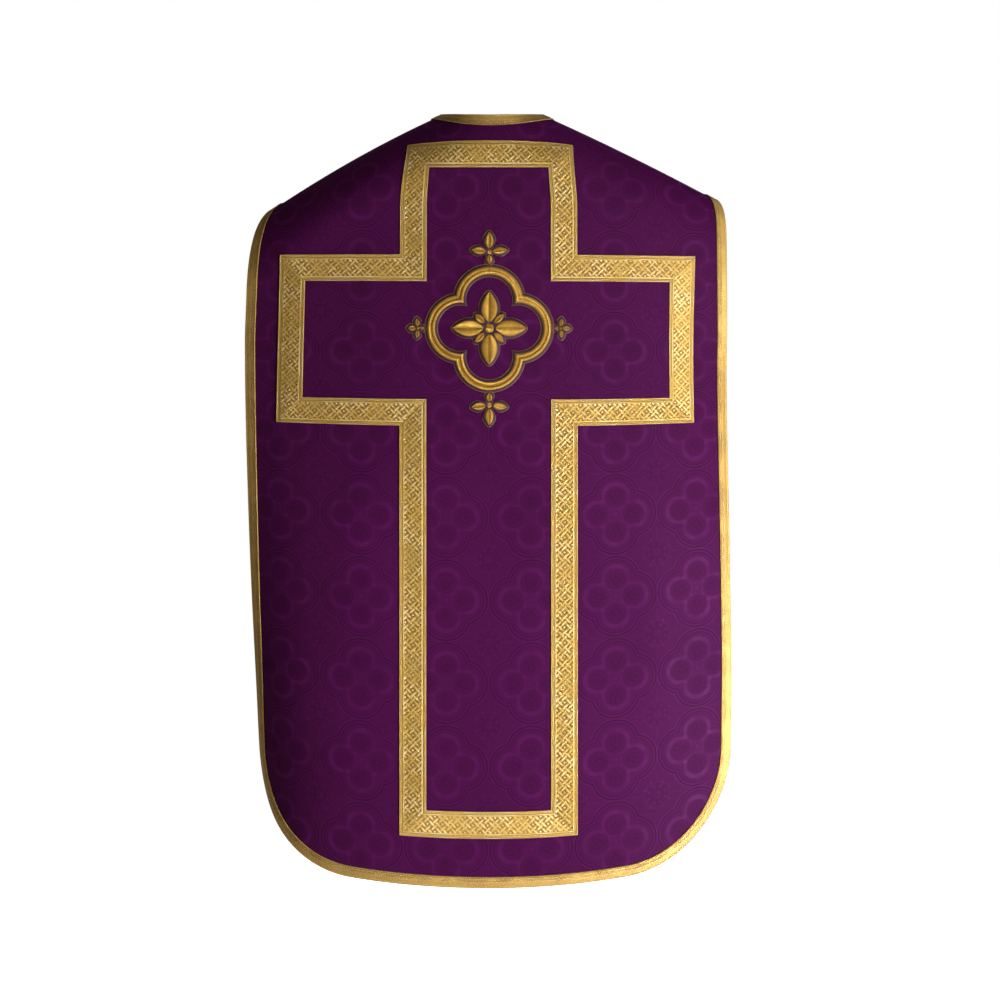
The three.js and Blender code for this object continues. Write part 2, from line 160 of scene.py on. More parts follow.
def curve(table, at, value=1, key=0):
    """A smooth curve through a table's rows, level past both ends."""
    x, y = table[:, key], table[:, value]
    at = np.clip(np.asarray(at, float), x[0], x[-1])
    i = np.clip(np.searchsorted(x, at, side="right") - 1, 0, len(x) - 2)
    ends = np.arange(len(x))
    before, after = np.maximum(0, ends - 1), np.minimum(len(x) - 1, ends + 1)
    slope = (y[after] - y[before]) / (x[after] - x[before])
    step = x[i + 1] - x[i]
    t = (at - x[i]) / step
    a, b, p, q = y[i], y[i + 1], slope[i] * step, slope[i + 1] * step
    return a + t * (p + t * (3 * (b - a) - 2 * p - q + t * (2 * (a - b) + p + q)))


def crest(x):
    """Height, slope and turn of the shoulder crest."""
    past = np.abs(x) - RIDGE["round_to"]
    fall, reach = RIDGE["fall"], RIDGE["round_to"]
    steepen = np.where(x < 0, RIDGE["left"], RIDGE["right"])
    inner = past < 0
    z = np.where(
        inner,
        RIDGE["z"] + fall * reach * (1 - (x / reach) ** 2) / 2,
        RIDGE["z"] - past * (fall + steepen * past / 2),
    )
    slope = np.where(inner, -fall * x / reach, -(fall + steepen * past) * np.sign(x))
    return z, slope, np.where(inner, -fall / reach, -steepen)


def to_crest(u, w, radius):
    """How far a flat point is past the start of the roll, and the way that the roll runs there."""
    x = np.array(u, float)
    for _ in range(8):
        z, slope, turn = crest(x)
        rate = np.minimum(-0.3, -1 - slope**2 + turn * (w - z))
        x = x - (u - x + slope * (w - z)) / rate
    z, slope, _ = crest(x)
    length = np.hypot(1, slope)
    nx, nz = -slope / length, 1 / length
    return radius + (u - x) * nx + (w - z) * nz, nx, nz


def below_roll(u, w, radius):
    """How far a flat point is below the start of the roll."""
    z, slope, _ = crest(u)
    return np.maximum(0, (z - w) / np.hypot(1, slope) - radius)


def turned(s, degrees, late, half):
    """Where a cloth that turns away steadily is, at a distance s along it: across and back."""
    f = np.radians(degrees) * (np.abs(s) / half) ** late
    across = s * (1 - f**2 / (4 * late + 2) + f**4 / (96 * late + 24))
    back = np.abs(s) * (f / (late + 1) - f**3 / (18 * late + 6) + f**5 / (600 * late + 120))
    return across, back


def back_surface(u, w):
    """Where the back hangs: level with the roll or over it, turned away at its sides and bulged."""
    below = below_roll(u, w, ROLL_BACK)
    left = u < 0
    degrees = np.where(left, curve(BACK_TURN, below, 1), curve(BACK_TURN, below, 3))
    late = np.where(left, curve(BACK_TURN, below, 2), curve(BACK_TURN, below, 4))
    across, back = turned(u, degrees, late, TURN_HALF)
    level = -ROLL_BACK - BULGE["back"] * smooth(below / BULGE["back_height"]) + back
    bow = BOW_RISE * u * u * np.maximum(0, BOW_FROM - w)
    along, nx, nz = to_crest(u, w, ROLL_BACK)
    angle = np.clip(along / ROLL_BACK, 0, math.pi / 2)
    drawn = np.where(along > 0, along - ROLL_BACK * np.sin(angle), 0)
    flat = np.cos(angle)
    lean = LEAN * smooth(along / BACK_ARC)
    roll = np.stack([u - drawn * nx + (across - u) * flat + lean, level * flat, w - drawn * nz + bow], -1)
    past = np.maximum(0, along - BACK_ARC) / ROLL_FRONT
    drawn = along - ROLL_BACK + ROLL_FRONT * (1 - np.cos(past))
    over = np.stack([u - drawn * nx + LEAN, ROLL_FRONT * np.sin(past), w - drawn * nz], -1)
    return np.where((along > BACK_ARC)[..., None], over, roll)


def seam_height(u, radius, distance):
    """Height on the flat cloth of the shoulder seam, for a panel's roll and its seam's distance."""
    w = crest(u)[0]
    for _ in range(12):
        w = w + 1.1 * (distance - to_crest(u, w, radius)[0])
    return w


def back_top(u):
    """The lower edge of the neck band, or the shoulder seam beyond it."""
    out = np.abs(u)
    return np.where(out < NECK_CORNER - 1e-6, curve(BACK_NECK, out), seam_height(u, *BACK_JOIN))


def drape_back(u, w):
    """Where the back hangs, with its neck band standing up at the middle."""
    stand = smooth(1 - np.abs(u) / NECK_STAND)
    top = back_top(u)
    above = np.maximum(0, w - top)
    lying = back_surface(u, w)
    standing = back_surface(u, np.minimum(w, top))
    standing[..., 2] += above
    share = np.where(above > 0, stand, 0)[..., None]
    return lying * (1 - share) + standing * share


def drape_front(u, w):
    """Where the front hangs."""
    below = below_roll(u, w, ROLL_FRONT)
    across, back = turned(u, FRONT_TURN_ANGLE * smooth(below / 120), FRONT_TURN_LATE, FRONT_TURN_HALF)
    level = ROLL_FRONT + BULGE["front"] * smooth(below / BULGE["front_height"]) - back
    along, nx, nz = to_crest(u, w, ROLL_FRONT)
    angle = np.clip(along / ROLL_FRONT, 0, math.pi)
    drawn = np.where(along > 0, along - ROLL_FRONT * np.sin(angle), 0)
    flat = np.cos(angle)
    return np.stack([u - drawn * nx + (across - u) * flat + LEAN, level * flat, w - drawn * nz], -1)


def creases(u, w, table):
    """Soft troughs and ridges, each a smooth bump along its own line."""
    height = np.zeros_like(np.asarray(u, float))
    for at_u, at_w, degrees, length, width, tall in table:
        turn = math.radians(degrees)
        along = (w - at_w) * math.cos(turn) + (u - at_u) * math.sin(turn)
        across = (u - at_u) * math.cos(turn) - (w - at_w) * math.sin(turn)
        height = height + tall * np.exp(-((along / (length / 2)) ** 2) - (across / (width / 2)) ** 2)
    return height


def placed(u, w, lift, front=False):
    """Places in space of flat points, at a height above the inside of the cloth."""
    u, w = np.asarray(u, float), np.asarray(w, float)
    surface = drape_front if front else drape_back
    step = 1.0
    across = surface(u + step, w) - surface(u - step, w)
    up = surface(u, w + step) - surface(u, w - step)
    out = np.cross(across, up) * (-1 if front else 1)
    out /= np.linalg.norm(out, axis=-1, keepdims=True)
    soft = creases(u, w, FRONT_CREASES if front else BACK_CREASES)
    return (surface(u, w) + out * (np.asarray(lift, float) + soft)[..., None]) * MM


def hem_height(u, hem, inset=0.0):
    """Height of a hem, a wide arc with a tight one at each corner, or of a line inset from it."""
    arc, corner, half = hem["arc"] - inset, hem["corner"] - inset, hem["half"] - inset
    centre = hem["w"] + hem["arc"]
    corner_u = hem["half"] - hem["corner"]
    drop = math.sqrt((hem["arc"] - hem["corner"]) ** 2 - corner_u**2)
    out = np.abs(u)
    wide = centre - np.sqrt(np.maximum(0, arc**2 - out**2))
    inside = np.minimum(out - corner_u, half - corner_u)
    tight = centre - drop - np.sqrt(np.maximum(0, corner**2 - inside**2))
    return np.where(out < arc * corner_u / (hem["arc"] - hem["corner"]), wide, tight)


def front_top(u):
    """The front's neck curve, or the shoulder seam beyond it."""
    out = np.abs(u)
    corner = seam_height(np.sign(u) * FRONT_NECK_U, *FRONT_JOIN)
    share = (np.minimum(out, FRONT_NECK_U) / FRONT_NECK_U) ** FRONT_NECK_POWER
    neck = FRONT_NECK_DEPTH + (corner - FRONT_NECK_DEPTH) * share
    return np.where(out < FRONT_NECK_U, neck, seam_height(u, *FRONT_JOIN))


def beside(path):
    """For each point of a flat path, the way to its left."""
    ahead = np.gradient(path, axis=0)
    ahead /= np.linalg.norm(ahead, axis=1, keepdims=True)
    return np.stack([-ahead[:, 1], ahead[:, 0]], 1)


def crowded(half, points, power):
    """Places from -half to half that lie closer together towards both ends."""
    u = np.linspace(-half, half, points)
    return np.sign(u) * half * (1 - (1 - np.abs(u) / half) ** power)


def neck_line():
    """The lower edge of the back neck band, from the left shoulder seam to the right, flat."""
    u = crowded(NECK_CORNER, 161, 1.35)
    return np.stack([u, curve(BACK_NECK, np.abs(u))], 1)


def front_neck_line():
    """The lower edge of the front neck braid, from the left shoulder seam to the right, flat."""
    u = crowded(FRONT_NECK_U, 121, 1.3)
    return np.stack([u, front_top(np.clip(u, -FRONT_NECK_U + 1e-6, FRONT_NECK_U - 1e-6))], 1)


def cloth_edge(line, corner, stop, join):
    """The cloth's edge at the neck, on one side, from the centre out to its corner at the seam."""
    half = (line + EDGE_WIDTH * beside(line))[len(line) // 2:]
    half = half[np.argsort(half[:, 0])]
    keep = (half[:, 1] <= seam_height(half[:, 0], *join) + 0.01) & (half[:, 0] < stop)
    return np.concatenate([half[keep], [[corner, float(seam_height(corner, *join))]]])


def edge_line(hem, sides, top, join, side_points, hem_points):
    """The inner line of a panel's edge braid: down the left side, along the hem and up the right."""
    corner, turns = hem["half"] - hem["corner"], np.radians(np.linspace(90, 0, 40)[1:])
    turned_in = corner + (hem["corner"] - EDGE_WIDTH) * np.sin(turns)
    out = np.concatenate([turned_in, np.linspace(corner, 0, hem_points)[1:]])
    bottom = np.stack([out, hem_height(out, hem, EDGE_WIDTH)], 1)
    low = float(hem_height(hem["half"] - EDGE_WIDTH, hem, EDGE_WIDTH))
    lines = []
    for sign in (-1, 1):
        w = np.linspace(float(seam_height(sign * (top - EDGE_WIDTH), *join)), low, side_points)
        line = np.concatenate([np.stack([curve(sides, w) - EDGE_WIDTH, w], 1), bottom])
        lines.append(line * (sign, 1))
    return np.concatenate([lines[0], lines[1][::-1][1:]])


def both_sides(half):
    """Columns from one side to the other, from the half that starts at the centre."""
    return np.concatenate([-half[:0:-1], half])


def panel_top(columns, edge, join):
    """Height of a panel's upper edge: its neck edge, and the shoulder seam beyond it."""
    out, seam = np.abs(columns), seam_height(columns, *join)
    neck = np.minimum(np.interp(out, edge[:, 0], edge[:, 1]), seam)
    return np.where(out < edge[-1, 0], neck, seam)


# Meshes


def deselect():
    if bpy.context.object and bpy.context.object.mode != "OBJECT":
        bpy.ops.object.mode_set(mode="OBJECT")
    bpy.ops.object.select_all(action="DESELECT")


def shape_grid(name, places, flat):
    """A grid with its points at their places, and a UV map in metres from flat places in millimetres."""
    columns, rows = places.shape[:2]
    deselect()
    bpy.ops.mesh.primitive_grid_add(x_subdivisions=columns - 1, y_subdivisions=rows - 1, size=1)
    piece = bpy.context.object
    piece.name = piece.data.name = name
    mesh = piece.data
    # The primitive's points run along x first
    mesh.vertices.foreach_set("co", places.transpose(1, 0, 2).reshape(-1).astype(np.float32))
    flat = (flat * MM).transpose(1, 0, 2).reshape(-1, 2)
    loops = np.empty(len(mesh.loops), np.int32)
    mesh.loops.foreach_get("vertex_index", loops)
    layer = mesh.uv_layers.active or mesh.uv_layers.new(name="cloth")
    layer.name = "cloth"
    layer.data.foreach_set("uv", flat[loops].reshape(-1).astype(np.float32))
    mesh.update()
    assert len(mesh.vertices) == columns * rows
    return piece


def lay(name, u, w, lift, flat, wall, front=False, finishes=()):
    """A sheet on the drape at a height above the cloth's inside, with its finishes and its wall."""
    piece = shape_grid(name, placed(u, w, lift, front), flat)
    mesh = piece.data
    facing = sum((p.normal * p.area for p in mesh.polygons), Vector()).y
    if (facing < 0) == front:
        mesh.flip_normals()
    mesh.shade_smooth()
    for material in finishes:
        mesh.materials.append(finish_of(material))
    solid = piece.modifiers.new("wall", "SOLIDIFY")
    solid.thickness, solid.offset, solid.use_rim = wall * MM, -1, True
    # A second finish is the lining, on the inside and the rim
    solid.material_offset = solid.material_offset_rim = int(len(finishes) > 1)
    deselect()
    bpy.context.view_layer.objects.active = piece
    piece.select_set(True)
    bpy.ops.object.modifier_apply(modifier=solid.name)
    return piece


def cut_at_seam(line, along, join):
    """One line along a braid, ended at the shoulder seam on both sides, with as many points."""
    over = line[:, 1] - seam_height(line[:, 0], *join)
    first, last = np.flatnonzero(over < 0)[[0, -1]]
    start = first + over[first] / (over[first - 1] - over[first])
    end = last - over[last] / (over[last + 1] - over[last])
    at, old = np.linspace(start, end, len(line)), np.arange(len(line))
    cut = np.stack([np.interp(at, old, line[:, 0]), np.interp(at, old, line[:, 1])], 1)
    return cut, np.interp(at, old, along)


def sew_braid(context, name, path, width, join, node, front=False):
    """Narrow gold braid along one side of a flat path, cut along the shoulder seam at both ends."""
    height = context.scene.chasuble_sizes.braid_height / MM
    # Share across the braid, and its height above the cloth as a share of the braid's
    half = [(0, 0.35), (0.03, 0.95), (0.09, 1.25), (0.15, 0.8), (0.24, 1.0)]
    profile = np.array([*half, (0.5, 1.2), *[(1 - at, tall) for at, tall in reversed(half)]])
    # Both ends run on past the seam, so that each line of the braid has a part to cut off
    ends = [
        path[at] + 2 * abs(width) * (path[at] - path[back]) / np.linalg.norm(path[at] - path[back])
        for at, back in ((0, 2), (-1, -3))
    ]
    path = np.concatenate([ends[:1], path, ends[1:]])
    length = np.concatenate([[0], np.cumsum(np.linalg.norm(np.diff(path, axis=0), axis=1))])
    flat = path[:, None, :] + beside(path)[:, None, :] * (profile[None, :, 0:1] * width)
    along = np.repeat(length[:, None], len(profile), 1)
    for k in range(len(profile)):
        flat[:, k], along[:, k] = cut_at_seam(flat[:, k], along[:, k], join)
    lift = CLOTH + GAP + height * profile[:, 1]
    uv = np.stack([along, np.broadcast_to(profile[:, 0] * width, along.shape)], -1)
    piece = lay(name, flat[..., 0], flat[..., 1], lift, uv, BRAID_WALL, front, ["narrow gold braid"])
    finish(piece, node)


def merge(name, pieces):
    """Makes one piece of several."""
    deselect()
    for piece in pieces:
        piece.select_set(True)
    bpy.context.view_layer.objects.active = pieces[0]
    if len(pieces) > 1:
        bpy.ops.object.join()
    piece = bpy.context.object
    piece.name = piece.data.name = name
    return piece


def finish(piece, node):
    """Puts a piece on the garment: its body and the solid that it stands for."""
    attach(piece, "root")
    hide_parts(node)
    return piece


# Materials


class Nodes:
    """A short way to write a shader: each call adds a node and returns its result."""

    def __init__(self, name):
        self.material = bpy.data.materials.new(name)
        self.material.use_nodes = True
        self.tree = self.material.node_tree
        self.shader = self.tree.nodes["Principled BSDF"]

    def new(self, kind, **values):
        """A node with its inputs linked or set, each by its name with _ for a space."""
        node = self.tree.nodes.new(kind)
        for name, value in values.items():
            self.link(value, node.inputs[name.replace("_", " ")])
        return node

    def link(self, value, socket):
        if isinstance(value, bpy.types.NodeSocket):
            self.tree.links.new(value, socket)
        else:
            socket.default_value = value

    def set(self, **values):
        for name, value in values.items():
            self.link(value, self.shader.inputs[name.replace("_", " ")])

    def math(self, operation, *values, clamp=False):
        node = self.new("ShaderNodeMath")
        node.operation, node.use_clamp = operation, clamp
        for value, socket in zip(values, node.inputs):
            self.link(value, socket)
        return node.outputs[0]

    def add(self, a, b):
        return self.math("ADD", a, b)

    def sub(self, a, b):
        return self.math("SUBTRACT", a, b)

    def mul(self, a, b):
        return self.math("MULTIPLY", a, b)

    def size(self, a):
        return self.math("ABSOLUTE", a)

    def wave(self, value, period):
        return self.math("SINE", self.mul(value, 2 * math.pi / period))

    def least(self, a, b):
        return self.math("MINIMUM", a, b)

    def most(self, *values):
        total = values[0]
        for value in values[1:]:
            total = self.math("MAXIMUM", total, value)
        return total

    def share(self, value):
        """A value kept between 0 and 1."""
        return self.math("MAXIMUM", value, 0.0, clamp=True)

    def hypot(self, a, b):
        return self.math("SQRT", self.add(self.mul(a, a), self.mul(b, b)))

    def step(self, value, low, high):
        """A soft step from 0 at low to 1 at high."""
        node = self.new("ShaderNodeMapRange")
        node.interpolation_type = "SMOOTHSTEP"
        for value, socket in zip((value, low, high, 0.0, 1.0), node.inputs):
            self.link(value, socket)
        return node.outputs[0]

    def line(self, value, at, half, soft):
        """1 where value is within half of at, and 0 past that: a ring, where value is a distance."""
        return self.step(self.size(self.sub(value, at)), half + soft, max(0.0, half - soft))

    def disc(self, distance, radius, soft):
        return self.step(distance, radius + soft, radius - soft)

    def uv(self):
        """The flat cloth's two directions in metres, and both as one vector."""
        node = self.new("ShaderNodeUVMap")
        node.uv_map = "cloth"
        flat = node.outputs[0]
        split = self.new("ShaderNodeSeparateXYZ", Vector=flat)
        return split.outputs[0], split.outputs[1], flat

    def noise(self, vector, scale, detail=2.0, roughness=0.5):
        values = {"Vector": vector, "Scale": scale, "Detail": detail, "Roughness": roughness}
        return self.new("ShaderNodeTexNoise", **values).outputs[0]

    def stretched(self, vector, x, y):
        return self.new("ShaderNodeMapping", Vector=vector, Scale=(x, y, 1)).outputs[0]

    def mix(self, share, a, b):
        """A colour between a and b."""
        node = self.new("ShaderNodeMix")
        node.data_type = "RGBA"
        self.link(share, node.inputs[0])
        for value, socket in ((a, node.inputs[6]), (b, node.inputs[7])):
            self.link(value if isinstance(value, bpy.types.NodeSocket) else (*value, 1), socket)
        return node.outputs[2]

    def blend(self, share, a, b):
        """A number between a and b."""
        return self.add(a, self.mul(share, self.sub(b, a)))

    def bump(self, height, distance, strength=1.0):
        node = self.new("ShaderNodeBump", Height=height, Distance=distance, Strength=strength)
        self.set(Normal=node.outputs[0])


def damask_figure(n, u, w):
    """
    The damask's woven figure: shares of light satin, of dark lines and of the dark discs.
    Its measures are shares of one repeat. It's the same in all eight directions from its middle.
    """

    def folded(value, at, period):
        cycle = n.math("FRACT", n.add(n.mul(n.sub(value, at * MM), 1 / (period * MM)), 0.5 + 100))
        return n.size(n.sub(cycle, 0.5))

    x, y = folded(u, FIGURE_U, REPEAT_ACROSS), folded(w, FIGURE_W, REPEAT_UP)
    far, near = n.most(x, y), n.least(x, y)
    soft = 0.007
    # The frame: four arcs that touch the next figure's, each two dark lines with a light one beside them
    frame_at = n.hypot(n.sub(far, 0.203), near)
    frame_dark = n.line(frame_at, 0.280, 0.008, soft)
    frame_light = n.mul(n.line(frame_at, 0.298, 0.006, soft), 0.8)
    second_dark = n.mul(n.line(frame_at, 0.242, 0.006, soft), 0.7)
    second_light = n.mul(n.line(frame_at, 0.261, 0.006, soft), 0.55)
    # The four lobes inside it, each a dark disc with a leaf, in a light ring that is thickest outward
    lobe_at = n.hypot(n.sub(far, 0.210), near)
    outward = n.step(n.sub(far, 0.210), -0.14, 0.12)
    edge = n.blend(outward, 0.145, 0.184)
    ring = n.mul(n.step(n.sub(lobe_at, edge), 0.010, -0.010), n.step(lobe_at, 0.122, 0.140))
    ring = n.mul(ring, n.blend(outward, 0.45, 0.95))
    disc = n.disc(lobe_at, 0.128, 0.014)
    leaf_at = n.hypot(n.sub(far, 0.235), n.mul(near, 1.15))
    leaf = n.mul(n.line(leaf_at, 0.072, 0.007, 0.009), n.step(n.sub(far, 0.235), 0.065, 0.03))
    bud = n.line(n.hypot(n.mul(n.sub(far, 0.185), 0.7), near), 0.034, 0.006, 0.008)
    stalk = n.mul(n.step(far, 0.205, 0.215), n.step(far, 0.300, 0.288))
    veins = n.most(leaf, bud, n.mul(n.line(near, 0.0, 0.005, 0.007), stalk))
    # The middle, its four dots and the dots where the lobes meet
    middle = n.hypot(x, y)
    boss = n.mul(n.line(middle, 0.066, 0.008, soft), 0.5)
    seed = n.mul(n.disc(middle, 0.030, soft), 0.5)
    dots = n.disc(n.hypot(n.sub(far, 0.079), n.sub(near, 0.075)), 0.018, soft)
    joints = n.disc(n.hypot(n.sub(far, 0.158), n.sub(near, 0.153)), 0.028, soft)
    # The star between four figures, with a rosette of dark leaves and light specks
    cx, cy = n.sub(0.5, x), n.sub(0.5, y)
    spread = n.hypot(cx, cy)
    turn = n.math("ARCTAN2", cy, cx)
    petals = n.size(n.math("COSINE", n.mul(turn, 4.0)))
    reach = n.blend(petals, 0.085, 0.155)
    leaves = n.mul(n.step(n.sub(spread, reach), 0.008, -0.008), n.step(spread, 0.045, 0.060))
    rim = n.mul(n.line(n.sub(spread, reach), 0.010, 0.006, soft), 0.55)
    rim = n.mul(rim, n.step(spread, 0.07, 0.09))
    small, wide = n.least(cx, cy), n.most(cx, cy)
    eyes = n.disc(n.hypot(n.sub(wide, 0.094), n.sub(small, 0.036)), 0.015, soft)
    specks = n.disc(n.hypot(n.sub(wide, 0.150), n.sub(small, 0.070)), 0.016, soft)
    core = n.mul(n.line(wide, 0.030, 0.007, soft), 0.6)
    reach = n.mul(n.step(spread, 0.17, 0.20), n.step(spread, 0.33, 0.28))
    tips = n.mul(n.line(small, 0.0, 0.008, soft), reach)
    light = n.most(
        frame_light, second_light, ring, boss, seed, n.mul(dots, 0.8), joints,
        rim, n.mul(eyes, 0.8), n.mul(specks, 0.8), core, n.mul(tips, 0.45),
    )
    dark = n.most(frame_dark, second_dark, n.mul(veins, 0.55), n.mul(leaves, 0.26))
    return light, dark, disc


def damask_material(colours):
    n = Nodes("purple damask")
    u, w, flat = n.uv()
    light, dark, disc = damask_figure(n, u, w)
    # Threads across, picks up, slubs along them, and soft unevenness of three sizes
    weave = n.mul(n.add(n.wave(u, 0.0011), n.wave(w, 0.0009)), 0.25)
    slub = n.noise(n.stretched(flat, 60, 700), 1.0, 3.0, 0.6)
    cloudy = n.noise(flat, 7.0, 3.0, 0.55)
    grain = n.noise(flat, 420.0, 2.0, 0.6)
    worn = n.noise(flat, 46.0, 3.0, 0.6)
    light = n.mul(light, n.blend(n.step(worn, 0.32, 0.60), 0.30, 1.10))
    colour = n.mix(n.mul(disc, 0.22), colours.ground, colours.lobe)
    colour = n.mix(n.least(n.mul(light, 0.85), 1.0), colour, colours.figure)
    colour = n.mix(n.mul(dark, 0.62), colour, colours.line)
    shade = n.add(n.mul(n.sub(cloudy, 0.30), 0.55), n.mul(n.sub(slub, 0.35), 0.45))
    shade = n.add(shade, n.mul(n.sub(grain, 0.45), 0.50))
    deep = [c * 0.45 for c in colours.ground]
    colour = n.mix(n.share(shade), colour, deep)
    n.set(Base_Color=colour, Roughness=n.blend(light, 0.60, 0.44), Specular_IOR_Level=0.03)
    n.set(Sheen_Weight=0.06, Sheen_Roughness=0.40, Sheen_Tint=(0.60, 0.02, 0.58, 1))
    height = n.add(n.mul(n.sub(light, dark), 0.35), n.add(n.mul(weave, 0.35), n.mul(slub, 0.35)))
    n.bump(height, 0.00022, 0.7)
    return n.material


def lining_material(colours):
    n = Nodes("purple lining")
    _, w, flat = n.uv()
    cloudy = n.noise(flat, 9.0, 3.0)
    ribs = n.wave(w, 0.0012)
    colour = n.mix(n.mul(cloudy, 0.6), colours.lining, [c * 0.6 for c in colours.lining])
    n.set(Base_Color=colour, Roughness=0.50, Specular_IOR_Level=0.12)
    n.set(Sheen_Weight=0.08, Sheen_Tint=(0.75, 0.25, 0.72, 1))
    n.bump(n.add(n.mul(ribs, 0.4), cloudy), 0.0002, 0.5)
    return n.material


def gold_thread(n, flat, woven, colours, relief):
    """Shared finish of metal thread: painted shade in the hollows, and painted highlights and glints where a
    thread rises.
    """
    glint = n.noise(flat, 900.0, 2.0, 0.7)
    patch = n.noise(flat, 26.0, 3.0, 0.6)
    fine = n.noise(flat, 1500.0, 1.0, 0.5)
    sparkle = n.mul(n.step(glint, 0.54, 0.68), n.step(fine, 0.40, 0.55))
    clear = n.blend(n.step(patch, 0.36, 0.60), 0.45, 1.0)
    tone = n.add(n.mul(n.mul(n.sub(woven, 0.62), clear), 1.35), 0.62)
    # A fine speckle of painted glints in the colour
    tone = n.add(tone, n.mul(n.sub(glint, 0.5), 0.8))
    # Low parts of the weave take the dark gold: painted shade in the hollows and gaps
    colour = n.mix(n.share(tone), colours.gold_shade, colours.gold)
    # The threads' crowns and the specks take the light gold as painted highlights
    crown_highlight = n.mul(n.step(n.mul(woven, clear), 0.66, 1.0), 0.42)
    colour = n.mix(n.most(n.mul(sparkle, 0.90), crown_highlight), colour, colours.gold_highlight)
    n.set(Base_Color=colour, Roughness=n.blend(sparkle, 0.48, 0.26), Metallic=0.5, Specular_IOR_Level=0.4)
    n.set(Sheen_Weight=0.12, Sheen_Roughness=0.4, Sheen_Tint=(1.0, 0.93, 0.75, 1))
    # The metal weft runs across the braid, so its highlights stretch along it
    along = n.new("ShaderNodeTangent")
    along.direction_type, along.uv_map = "UV_MAP", "cloth"
    n.set(Anisotropic=0.8, Tangent=along.outputs[0])
    n.bump(n.add(n.mul(woven, clear), n.mul(glint, 0.45)), relief, 0.9)


def wide_braid_material(colours):
    """The cross's braid: plaited double strands round small eyes, between two corded borders."""
    n = Nodes("gold braid")
    along, across, flat = n.uv()

    def strand(value):
        """Signed distance from a lattice line, in pitches, and the height of the strands beside it."""
        off = n.sub(n.math("FRACT", n.add(value, 100.5)), 0.5)
        away = n.mul(n.sub(n.size(off), 0.175), 1 / 0.125)
        return off, n.math("MAXIMUM", n.sub(1.0, n.mul(away, away)), 0.0)

    p, q = (n.mul(way(along, across), 1 / PLAIT_PITCH) for way in (n.add, n.sub))
    off_p, rise_p = strand(p)
    off_q, rise_q = strand(q)
    # Where a strand passes under the other it lies lower, and gold_thread paints it darker as shade
    over = n.step(n.mul(off_p, off_q), -0.001, 0.001)
    plait = n.most(
        n.mul(n.math("SQRT", rise_p), n.blend(over, 0.62, 1.0)),
        n.mul(n.math("SQRT", rise_q), n.blend(over, 0.95, 0.58)),
    )
    # The small eye in each gap of the plait
    eye = n.mul(n.step(n.least(n.size(off_p), n.size(off_q)), 0.38, 0.43), 0.95)
    plait = n.most(plait, eye)
    v = n.size(across)
    field = n.step(v, 0.0122, 0.0118)
    lines = n.most(n.line(v, 0.0133, 0.0007, 0.0003), n.line(v, 0.0180, 0.0006, 0.0003))
    groove = n.most(n.line(v, 0.0146, 0.0005, 0.0003), n.mul(n.line(v, 0.0170, 0.0004, 0.0002), 0.6))
    rib = n.size(n.math("SINE", n.mul(along, math.pi / 0.0021)))
    border = n.mul(n.sub(1.0, field), n.blend(n.step(rib, 0.15, 0.6), 0.45, 0.70))
    stitch = n.mul(n.line(v, 0.0160, 0.0008, 0.0003), n.step(rib, 0.5, 0.2))
    # The weave's height, which also sets its colour: the low gaps between strands take painted shade
    woven = n.most(n.add(n.mul(field, plait), border), lines)
    # The grooves and stitches sit lower and are painted darker as shade
    woven = n.mul(woven, n.sub(1.0, n.mul(n.most(groove, n.mul(stitch, 0.6)), 0.65)))
    gold_thread(n, flat, woven, colours, 0.0009)
    return n.material


def edge_braid_material(colours):
    """The narrow braid: a raised line by the cloth, a groove, and a ribbed outer half with a cord."""
    n = Nodes("narrow gold braid")
    along, across, flat = n.uv()
    v = n.size(n.mul(across, 1 / (EDGE_WIDTH * MM)))
    rope, other = (
        n.step(n.size(n.sub(n.math("FRACT", n.add(slant, 100)), 0.5)), 0.06, 0.34)
        for slant in (way(n.mul(along, 1 / 0.0036), n.mul(v, 2.2)) for way in (n.add, n.sub))
    )
    lines = n.most(n.line(v, 0.07, 0.035, 0.02), n.line(v, 0.93, 0.035, 0.02))
    grooves = n.most(n.line(v, 0.16, 0.03, 0.02), n.mul(n.line(v, 0.40, 0.05, 0.03), 0.8))
    body = n.blend(n.step(v, 0.38, 0.44), n.mul(n.mul(rope, other), 0.75), n.add(n.mul(rope, 0.3), 0.5))
    # Grooves sit lower, and this height also sets the colour, so they carry painted shade
    woven = n.mul(n.most(body, n.mul(lines, 0.95)), n.sub(0.59, n.mul(grooves, 0.38)))
    gold_thread(n, flat, woven, colours, 0.0007)
    return n.material


def satin_stitch_material(colours):
    """Padded gold satin stitch: fine threads laid slantwise across each stroke."""
    n = Nodes("gold satin stitch")
    along, across, flat = n.uv()
    slanted = n.add(along, n.mul(n.size(across), 0.55))
    thread = n.wave(slanted, 0.0013)
    uneven = n.noise(n.stretched(flat, 700, 110), 1.0, 2.0)
    wide = n.noise(flat, 60.0, 2.0)
    tone = n.add(n.add(n.mul(thread, 0.14), 0.60), n.mul(n.sub(uneven, 0.5), 0.9))
    tone = n.add(tone, n.mul(n.sub(wide, 0.5), 0.5))
    # A darker lane down the middle of each stroke: painted shade in the groove of its padding
    middle = n.step(n.size(across), 0.0026, 0.0012)
    tone = n.sub(tone, n.mul(middle, 0.42))
    # Low tone takes the dark embroidery colour: painted shade in the groove and between the threads, and
    # random unevenness
    colour = n.mix(n.share(tone), colours.thread_dark, colours.thread)
    n.set(Base_Color=colour, Metallic=0.45, Roughness=0.36, Specular_IOR_Level=0.25)
    n.bump(n.add(thread, uneven), 0.00022, 0.8)
    return n.material


def plain_material(name, colour, roughness, metallic=0.0, scale=400.0):
    n = Nodes(name)
    _, _, flat = n.uv()
    grain = n.noise(flat, scale, 2.0)
    n.set(Base_Color=n.mix(n.mul(grain, 0.7), colour, [c * 0.45 for c in colour]))
    n.set(Roughness=roughness, Metallic=metallic)
    n.bump(grain, 0.0002, 0.6)
    return n.material


